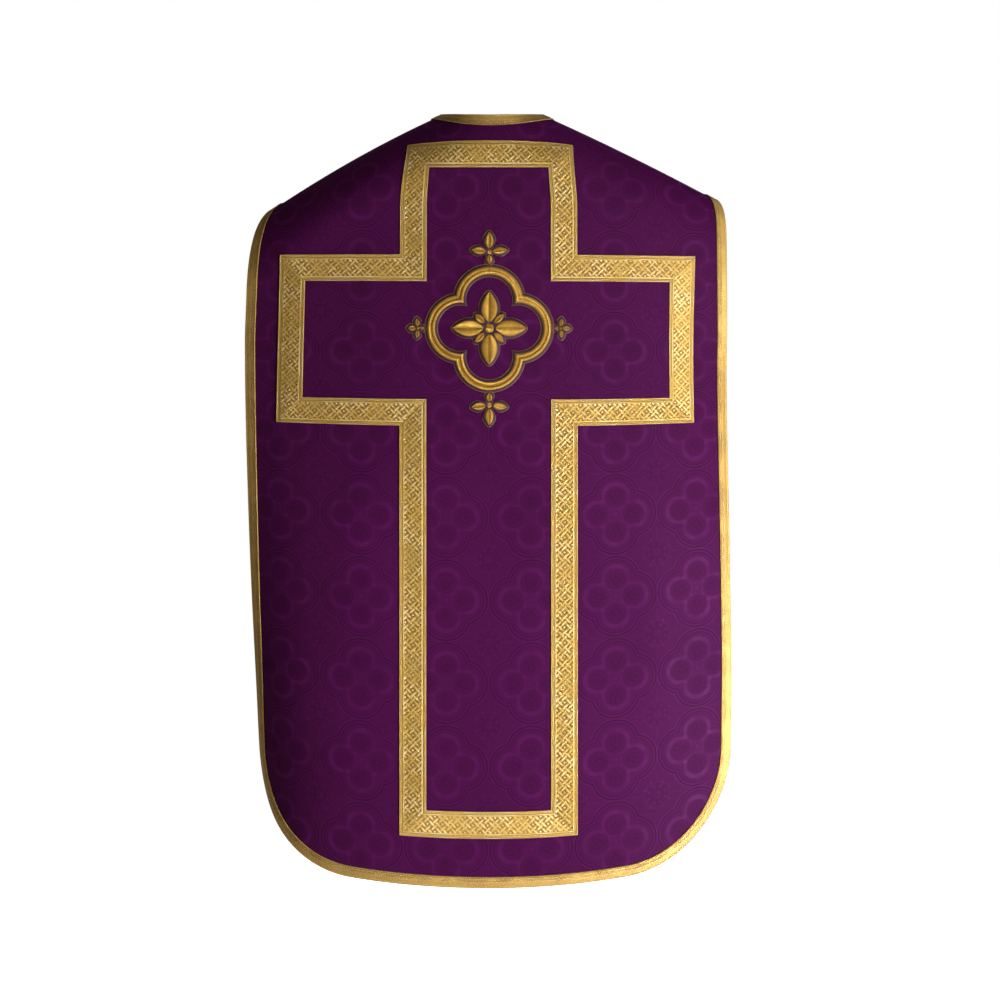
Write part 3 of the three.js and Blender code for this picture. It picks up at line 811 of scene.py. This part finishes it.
def finish_of(name):
    """A material by name, made the first time that it is asked for."""
    colours = bpy.context.scene.chasuble_colours
    makers = {
        "purple damask": lambda: damask_material(colours),
        "purple lining": lambda: lining_material(colours),
        "gold braid": lambda: wide_braid_material(colours),
        "narrow gold braid": lambda: edge_braid_material(colours),
        "gold satin stitch": lambda: satin_stitch_material(colours),
        "maroon underlay": lambda: plain_material("maroon underlay", colours.underlay, 0.7),
        "outline cord": lambda: plain_material("outline cord", colours.cord, 0.5, 0.3),
    }
    return bpy.data.materials.get(name) or makers[name]()


# The add-on


def colour_setting(name, description, default):
    return bpy.props.FloatVectorProperty(
        name=name, description=description, subtype="COLOR", size=3, min=0, max=1, default=default,
    )


class ChasubleColours(bpy.types.PropertyGroup):
    """Colours of the cloth, braid and embroidery."""

    ground: colour_setting("Ground", "Matt ground of the damask", (0.053, 0.0038, 0.0425))
    lobe: colour_setting("Lobes", "Darker discs inside the damask's figure", (0.035, 0.0023, 0.0270))
    figure: colour_setting("Figure", "Satin figure of the damask", (0.072, 0.0068, 0.0625))
    line: colour_setting("Lines", "Thin dark lines of the damask's figure", (0.026, 0.0017, 0.0200))
    lining: colour_setting("Lining", "Inside of the garment", (0.050, 0.0060, 0.041))
    gold: colour_setting("Gold", "Threads of the braid", (0.55, 0.338, 0.064))
    # Painted highlight: the colour of glints and of the threads' crowns
    gold_highlight: colour_setting("Light gold", "Glints on the braid's threads", (0.92, 0.76, 0.42))
    # Painted shade: the colour that the braid's hollows and gaps take
    gold_shade: colour_setting("Dark gold", "Threads in the braid's hollows", (0.20, 0.108, 0.012))
    thread: colour_setting("Embroidery", "Light gold of the satin stitch", (0.60, 0.350, 0.052))
    thread_dark: colour_setting("Dark embroidery", "Shaded gold of the satin stitch", (0.215, 0.100, 0.009))
    underlay: colour_setting("Underlay", "Dark gap round each embroidered stroke", (0.036, 0.0025, 0.014))
    cord: colour_setting("Cord", "Thin cord round the embroidery", (0.26, 0.125, 0.050))


class ChasubleSizes(bpy.types.PropertyGroup):
    """Sizes of what is laid on the cloth."""

    braid_height: bpy.props.FloatProperty(
        name="Braid height", description="How far the braid stands up from the damask",
        default=1.2 * MM, min=0, soft_max=4 * MM, subtype="DISTANCE", unit="LENGTH",
    )
    pad_height: bpy.props.FloatProperty(
        name="Padding height", description="How far the embroidery's padding rises",
        default=1.9 * MM, min=0, soft_max=5 * MM, subtype="DISTANCE", unit="LENGTH",
    )
    columns: bpy.props.IntProperty(
        name="Columns", description="Columns of faces across a panel", default=150, min=20, max=200,
    )
    rows: bpy.props.IntProperty(
        name="Rows", description="Rows of faces down a panel", default=200, min=20, max=240,
    )


class CHASUBLE_OT_back(bpy.types.Operator):
    """Cut the back panel flat, drape it over the shoulders and line it"""

    bl_idname = "chasuble.back"
    bl_label = "Back Panel"

    def execute(self, context):
        sizes = context.scene.chasuble_sizes
        corner = BACK_HEM["half"] - BACK_HEM["corner"]
        turns = np.sin(np.radians(np.linspace(0, 90, 17)[1:]))
        inner = np.linspace(0, corner, sizes.columns // 2 - 16)
        columns = both_sides(np.concatenate([inner, corner + BACK_HEM["corner"] * turns]))
        top = panel_top(columns, cloth_edge(neck_line(), NECK_CLOTH, NECK_CLOTH - 1, BACK_JOIN), BACK_JOIN)
        fold = np.minimum(back_top(columns), top - NECK_FOLD)
        low = hem_height(columns, BACK_HEM)
        first = np.linspace(0, 1, 4)[:3]
        rest = np.linspace(0, 1, sizes.rows - 3)
        w = np.concatenate([
            top[:, None] + (fold - top)[:, None] * first, fold[:, None] + (low - fold)[:, None] * rest,
        ], 1)
        # The outer columns follow the cut's curved sides, and the inner ones stay upright
        share = curve(BACK_SIDE, w) / BACK_HEM["half"]
        far = smooth((np.abs(columns) - 250) / 100)[:, None]
        u = columns[:, None] * (1 + (share - 1) * far)
        piece = lay("BackPanel", u, w, CLOTH, np.stack([u, w], -1), CLOTH, False, LINED_DAMASK)
        finish(piece, "back_panel")
        return {"FINISHED"}


class CHASUBLE_OT_front(bpy.types.Operator):
    """Cut the fiddle-shaped front flat, drape it down from the shoulder seams and line it"""

    bl_idname = "chasuble.front"
    bl_label = "Front Panel"

    def execute(self, context):
        sizes = context.scene.chasuble_sizes
        corner = FRONT_NECK_U - EDGE_WIDTH
        edge = cloth_edge(front_neck_line(), corner, corner - 0.5, FRONT_JOIN)
        outer = corner + (FRONT_SHOULDER - corner) * np.linspace(0, 1, 45)[1:]
        tops = both_sides(np.concatenate([np.linspace(0, corner, 22), outer]))
        bow = np.linspace(0, 1, (len(tops) + 1) // 2)
        lows = both_sides(FRONT_HEM["half"] * np.sin(bow * math.pi / 2) ** 0.9)
        start, end = panel_top(tops, edge, FRONT_JOIN), hem_height(lows, FRONT_HEM)
        t = np.linspace(0, 1, sizes.rows)[None, :] ** 1.15
        w = start[:, None] + (end - start)[:, None] * t
        share = (tops / curve(FRONT_SIDE, start))[:, None]
        low_share = (lows / curve(FRONT_SIDE, end))[:, None]
        u = (share + (low_share - share) * smooth(t)) * curve(FRONT_SIDE, w)
        for k in (0, -1):
            u[k] = np.sign(tops[k]) * curve(FRONT_SIDE, w[k])
        piece = lay("FrontPanel", u, w, CLOTH, np.stack([u, w], -1), CLOTH, True, LINED_DAMASK)
        finish(piece, "front_panel")
        return {"FINISHED"}


class CHASUBLE_OT_edges(bpy.types.Operator):
    """Sew the narrow gold braid along the sides and hems of both panels"""

    bl_idname = "chasuble.edges"
    bl_label = "Edge Braid"

    def execute(self, context):
        back = edge_line(BACK_HEM, BACK_SIDE, BACK_HEM["half"], BACK_JOIN, 260, 40)
        front = edge_line(FRONT_HEM, FRONT_SIDE, FRONT_SHOULDER, FRONT_JOIN, 220, 30)
        sew_braid(context, "EdgeBraidBack", back, -EDGE_WIDTH, BACK_JOIN, "edge_galloon_back")
        sew_braid(context, "EdgeBraidFront", front, -EDGE_WIDTH, FRONT_JOIN, "edge_galloon_front", True)
        return {"FINISHED"}


class CHASUBLE_OT_neck(bpy.types.Operator):
    """Sew the narrow gold braid round the neck, standing up at the back"""

    bl_idname = "chasuble.neck"
    bl_label = "Neck Braid"

    def execute(self, context):
        back, front = neck_line(), front_neck_line()
        sew_braid(context, "NeckBraidBack", back, EDGE_WIDTH, BACK_JOIN, "neck_galloon_back")
        sew_braid(context, "NeckBraidFront", front, EDGE_WIDTH, FRONT_JOIN, "neck_galloon_front", True)
        return {"FINISHED"}


def lobed(angle, centre, radius):
    """Distance to the outline of four circles at a distance from the middle, in a direction."""
    folded = np.mod(angle + math.pi / 4, math.pi / 2) - math.pi / 4
    side = centre * np.sin(folded)
    return centre * np.cos(folded) + np.sqrt(radius**2 - side**2)


def padding(across, pad):
    """Height of a padded stroke from one edge at -1 to the other at 1, with a groove in its middle."""
    hump = np.maximum(0, 1 - np.abs(across) ** 3.2) ** 0.55
    return 0.5 + pad * hump * (1 - 0.62 * np.exp(-((across / 0.26) ** 2)))


def around(angle, radius):
    """Across and up, for directions clockwise from straight up and distances."""
    return radius * np.sin(angle), radius * np.cos(angle)


def embroider(name, angle, radius, height, flat, material="gold satin stitch", u=EMBLEM_U, w=EMBLEM_W):
    """A grid laid out round a middle point by angle and radius, thickened down to the cloth."""
    off_u, off_w = around(angle, radius)
    return lay(name, u + off_u, w + off_w, CLOTH + GAP + height, flat, STITCH_WALL, False, [material])


def cord(angle, radius, u, w):
    """A thin cord couched along a closed outline."""
    ring = np.linspace(0, 2 * math.pi, 7)
    at_radius = radius[:, None] + CORD_RADIUS * np.cos(ring)
    height = np.broadcast_to(CORD_RADIUS + CORD_RADIUS * np.sin(ring), at_radius.shape)
    length = np.concatenate([[0], np.cumsum(np.abs(np.diff(angle)) * radius[1:])])
    flat = np.stack(np.broadcast_arrays(length[:, None], ring * CORD_RADIUS), -1)
    off_u, off_w = around(angle[:, None], at_radius)
    piece = shape_grid("cord", placed(u + off_u, w + off_w, CLOTH + GAP + height), flat)
    bpy.ops.object.mode_set(mode="EDIT")
    bpy.ops.mesh.select_all(action="SELECT")
    bpy.ops.mesh.remove_doubles(threshold=0.00002)
    bpy.ops.mesh.normals_make_consistent(inside=False)
    bpy.ops.object.mode_set(mode="OBJECT")
    piece.data.shade_smooth()
    piece.data.materials.append(finish_of("outline cord"))
    return piece


def petal_half(t, half):
    """Half width of a petal from its foot at 0 to its tip at 1."""
    return half * np.sin(math.pi * t**0.85) ** 0.8


def motif(name, off_u, off_w, turn, petals, boss, pad, node):
    """
    Petals round a boss, on a dark ground with a cord round it.
    Each petal is a direction, the distances of its foot and tip, and its half width.
    """
    u, w = EMBLEM_U + off_u, EMBLEM_W + off_w
    pieces = []
    angle = np.linspace(-math.pi, math.pi, 241)
    outline = np.full(angle.shape, boss + MARGIN * 0.6)
    for way, foot, tip, half in petals:
        t = np.linspace(0, 1, 29)
        s = np.linspace(-1, 1, 15)
        side = petal_half(np.clip(t, 0.012, 0.988), half)
        ahead, aside = np.broadcast_arrays((foot + (tip - foot) * t)[:, None], side[:, None] * s)
        rise = np.sin(math.pi * np.clip(t, 0.02, 0.98)) ** 0.45
        height = 0.5 + (padding(s, pad)[None, :] - 0.5) * rise[:, None]
        sine, cosine = math.sin(way + turn), math.cos(way + turn)
        at_u, at_w = u + ahead * sine + aside * cosine, w + ahead * cosine - aside * sine
        flat = np.stack([ahead, aside], -1)
        lift = CLOTH + GAP + height
        pieces.append(lay("petal", at_u, at_w, lift, flat, STITCH_WALL, False, ["gold satin stitch"]))
        # How far the dark ground goes to take the petal in, direction by direction
        t = np.linspace(0.02, 1, 80)
        reach_w = foot + (tip + MARGIN - foot) * t
        reach_u = petal_half(np.minimum(t, 1), half + MARGIN) + 0.2
        bearing, reach = np.arctan2(reach_u, reach_w), np.hypot(reach_u, reach_w)
        widest = int(np.argmax(bearing))
        order = np.argsort(bearing[widest:])
        off = np.abs(np.mod(angle - way + math.pi, 2 * math.pi) - math.pi)
        outline = np.maximum(outline, np.interp(
            off, bearing[widest:][order], reach[widest:][order], left=tip + MARGIN, right=0,
        ))
    outline = np.convolve(np.concatenate([outline[-4:-1], outline, outline[1:4]]), np.ones(7) / 7, "valid")
    heading = angle + turn
    radius = outline[:, None] * np.linspace(0.04, 1, 5)
    flat = np.stack(around(angle[:, None], radius), -1)
    level = np.full(radius.shape, 0.65)
    ground = embroider("ground", heading[:, None], radius, level, flat, "maroon underlay", u, w)
    share = np.linspace(0.03, 1, 7)
    radius = np.broadcast_to(boss * share, (len(angle), 7))
    dome = 0.6 + pad * np.sqrt(np.maximum(0, 1 - share**2)) * np.ones((len(angle), 1))
    flat = np.stack(around(angle[:, None], radius), -1)
    knob = embroider("boss", heading[:, None], radius, dome, flat, u=u, w=w)
    edge = cord(heading, outline + 0.5, u, w)
    finish(merge(name, [*pieces, knob, ground, edge]), node)


def mitre(one, other):
    """Where two strips meet, the way to their corner for one unit of width."""
    return (one + other) / (1 + one @ other)


class CHASUBLE_OT_cross(bpy.types.Operator):
    """Lay the wide gold braid as the outline of a cross, folded to a mitre at each corner"""

    bl_idname = "chasuble.cross"
    bl_label = "Cross of Braid"

    def execute(self, context):
        height = context.scene.chasuble_sizes.braid_height / MM
        # Distance from the braid's middle, and the height there, both as shares
        section = np.array([
            (0, 1.0), (0.17, 1.0), (0.34, 1.0), (0.5, 1.0), (0.585, 0.95), (0.62, 1.3), (0.66, 0.95),
            (0.70, 0.8), (0.80, 0.95), (0.88, 0.9), (0.915, 1.0), (0.955, 1.25), (0.985, 0.9), (1, 0.3),
        ])
        across = both_sides(section[:, 0]) * CROSS_WIDTH / 2
        rise = np.concatenate([section[:0:-1, 1], section[:, 1]])
        corners = [np.array(c, float) for c in CROSS_CORNERS]
        count = len(corners)
        ways = [corners[(k + 1) % count] - corners[k] for k in range(count)]
        ways = [way / np.linalg.norm(way) for way in ways]
        sides = [np.array([-way[1], way[0]]) for way in ways]
        pieces = []
        for k in range(count):
            a, b = corners[k], corners[(k + 1) % count]
            length = float(np.linalg.norm(b - a))
            t = np.linspace(0, 1, max(12, int(length / 5)))
            near = np.array([0, 0.6, MITRE_RISE]) / length
            t = np.concatenate([near, t[1:-1], 1 - near[::-1]])
            start = a + across[:, None] * mitre(sides[k - 1], sides[k])
            end = b + across[:, None] * mitre(sides[k], sides[(k + 1) % count])
            flat = start[None] + (end - start)[None] * t[:, None, None]
            drawn = CROSS_DRAWN["share"] * smooth((flat[..., 1] - CROSS_DRAWN["from"]) / CROSS_DRAWN["over"])
            flat[..., 0] *= 1 - drawn
            away = np.minimum(t, 1 - t) * length
            press = MITRE_PRESS + (1 - MITRE_PRESS) * smooth(away / MITRE_RISE)
            lift = CLOTH + GAP + height * rise[None, :] * press[:, None]
            # Each strip's plait starts 5 mm further on, so no two mitres match
            along = (flat - a) @ ways[k] + k * 5.0
            uv = np.stack([along, np.broadcast_to(across, along.shape)], -1)
            u, w = flat[..., 0], flat[..., 1]
            pieces.append(lay(f"strip{k}", u, w, lift, uv, BRAID_WALL, False, ["gold braid"]))
        finish(merge("CrossBraid", pieces), "cross_galloon")
        return {"FINISHED"}


class CHASUBLE_OT_emblem(bpy.types.Operator):
    """Embroider the ornament: a lobed ring, a star of petals and four small fleurs, padded and corded"""

    bl_idname = "chasuble.emblem"
    bl_label = "Embroidery"

    def execute(self, context):
        pad = context.scene.chasuble_sizes.pad_height / MM
        angle = np.linspace(0, 2 * math.pi, 385)
        column, far = angle[:, None], RING["centre"]
        lanes, wide = np.linspace(0, 1, 17), RING["outer"] - RING["inner"]
        radius = lobed(column, far, RING["inner"] + wide * lanes)
        height = padding(lanes * 2 - 1, pad) + 0 * column
        flat = np.stack(np.broadcast_arrays(column * RING["reach"], (lanes - 0.5) * wide), -1)
        stroke = embroider("stroke", column, radius, height, flat)
        lanes, low, high = np.linspace(0, 1, 7), RING["inner"] - MARGIN, RING["outer"] + MARGIN
        radius = lobed(column, far, low + (high - low) * lanes)
        flat = np.stack(np.broadcast_arrays(column * RING["reach"], lanes * 15), -1)
        base = embroider("base", column, radius, np.full(radius.shape, 0.7), flat, "maroon underlay")
        cords = [cord(angle, lobed(angle, far, r), EMBLEM_U, EMBLEM_W) for r in (low - 0.5, high + 0.5)]
        finish(merge("EmblemRing", [stroke, base, *cords]), "emblem_ring")
        turns = np.radians(np.arange(0, 360, 90))
        star = [(turn, 8.5, 51.5, 11.5) for turn in turns]
        star += [(turn + math.pi / 4, 10.5, 28.0, 4.6) for turn in turns]
        motif("EmblemStar", 0, 0, 0, star, 6.5, pad, "emblem_star")
        # The fleurs: distance from the middle, then the tips of their petals and the half width
        tall, short = (108, 28, 25, 17, 6.0), (100, 14, 14, 9, 3.6)
        for name, node, turn, (far, tip, leaf, foot, half) in (
            ("EmblemTop", "emblem_top", 0, tall),
            ("EmblemRight", "emblem_right", math.pi / 2, short),
            ("EmblemLow", "emblem_low", math.pi, tall),
            ("EmblemLeft", "emblem_left", -math.pi / 2, short),
        ):
            reaches = (0, tip, 1), (1.45, leaf, 0.85), (-1.45, leaf, 0.85), (math.pi, foot, 0.7)
            petals = [(way, half * 0.8, reach, half * wide) for way, reach, wide in reaches]
            motif(name, *around(turn, far), turn, petals, half * 0.6, pad * 0.8, node)
        return {"FINISHED"}


class CHASUBLE_OT_studio(bpy.types.Operator):
    """Set the pale floor, soft lights and the camera behind the garment"""

    bl_idname = "chasuble.studio"
    bl_label = "Studio"

    def execute(self, context):
        deselect()
        bpy.ops.mesh.primitive_circle_add(vertices=96, radius=30, fill_type="NGON", location=(0, 0, FLOOR))
        floor = bpy.context.object
        floor.name = "Floor"
        n = Nodes("pale floor")
        n.set(Base_Color=(0.9, 0.9, 0.9, 1), Roughness=0.9, Emission_Color=(1, 1, 1, 1))
        # Floor and world are white to the camera, and dim as lights
        path = n.new("ShaderNodeLightPath")
        n.set(Emission_Strength=n.blend(path.outputs["Is Camera Ray"], 0.15, 0.92))
        floor.data.materials.append(n.material)
        scene = context.scene
        scene.view_settings.view_transform = "Standard"
        scene.world = scene.world or bpy.data.worlds.new("studio")
        scene.world.use_nodes = True
        tree = scene.world.node_tree
        seen, soft = tree.nodes["Background"], tree.nodes.new("ShaderNodeBackground")
        for node, colour, strength in ((seen, (1, 1, 1, 1), 1.0), (soft, (1.0, 0.93, 0.86, 1), 0.12)):
            node.inputs[0].default_value, node.inputs[1].default_value = colour, strength
        path, mix = tree.nodes.new("ShaderNodeLightPath"), tree.nodes.new("ShaderNodeMixShader")
        outputs = path.outputs["Is Camera Ray"], soft.outputs[0], seen.outputs[0], mix.outputs[0]
        for output, socket in zip(outputs, (*mix.inputs, tree.nodes["World Output"].inputs[0])):
            tree.links.new(output, socket)
        for name, place, aim, power, size, spread, colour in LIGHTS:
            light = bpy.data.lights.new(name, "AREA")
            light.energy, light.size, light.spread, light.color = power, size, math.radians(spread), colour
            lamp = bpy.data.objects.new(name, light)
            lamp.location = place
            lamp.rotation_euler = (Vector(aim) - Vector(place)).to_track_quat("-Z", "Y").to_euler()
            context.scene.collection.objects.link(lamp)
        view = bpy.data.cameras.new("camera")
        view.sensor_fit, view.sensor_width, view.clip_end = "HORIZONTAL", 36, 100
        # The view takes in 1.4 m at a distance of 3.4 m
        view.lens = 36 * (3.4 / 1.4)
        camera = bpy.data.objects.new("camera", view)
        camera.location = CAMERA
        camera.rotation_euler = (math.pi / 2, 0, 0)
        context.scene.collection.objects.link(camera)
        context.scene.camera = camera
        return {"FINISHED"}


class CHASUBLE_PT_panel(bpy.types.Panel):
    """Lists the garment's pieces and settings"""

    bl_idname = "CHASUBLE_PT_panel"
    bl_label = "Chasuble"
    bl_space_type = "VIEW_3D"
    bl_region_type = "UI"
    bl_category = "Chasuble"

    def draw(self, context):
        for operator in OPERATORS:
            self.layout.operator(operator.bl_idname)
        for group in (context.scene.chasuble_sizes, context.scene.chasuble_colours):
            box = self.layout.box()
            for name in group.bl_rna.properties.keys():
                if name not in ("rna_type", "name"):
                    box.prop(group, name)


OPERATORS = (
    CHASUBLE_OT_studio, CHASUBLE_OT_back, CHASUBLE_OT_front, CHASUBLE_OT_edges,
    CHASUBLE_OT_neck, CHASUBLE_OT_cross, CHASUBLE_OT_emblem,
)
CLASSES = (ChasubleColours, ChasubleSizes, *OPERATORS, CHASUBLE_PT_panel)


def register():
    for item in CLASSES:
        bpy.utils.register_class(item)
    bpy.types.Scene.chasuble_colours = bpy.props.PointerProperty(type=ChasubleColours)
    bpy.types.Scene.chasuble_sizes = bpy.props.PointerProperty(type=ChasubleSizes)


def unregister():
    del bpy.types.Scene.chasuble_sizes
    del bpy.types.Scene.chasuble_colours
    for item in reversed(CLASSES):
        bpy.utils.unregister_class(item)


def build_chasuble():
    register()
    bpy.ops.chasuble.studio()
    bpy.ops.chasuble.back()
    bpy.ops.chasuble.front()
    bpy.ops.chasuble.edges()
    bpy.ops.chasuble.neck()
    bpy.ops.chasuble.cross()
    bpy.ops.chasuble.emblem()


if __name__ == "__main__":
    build_chasuble()
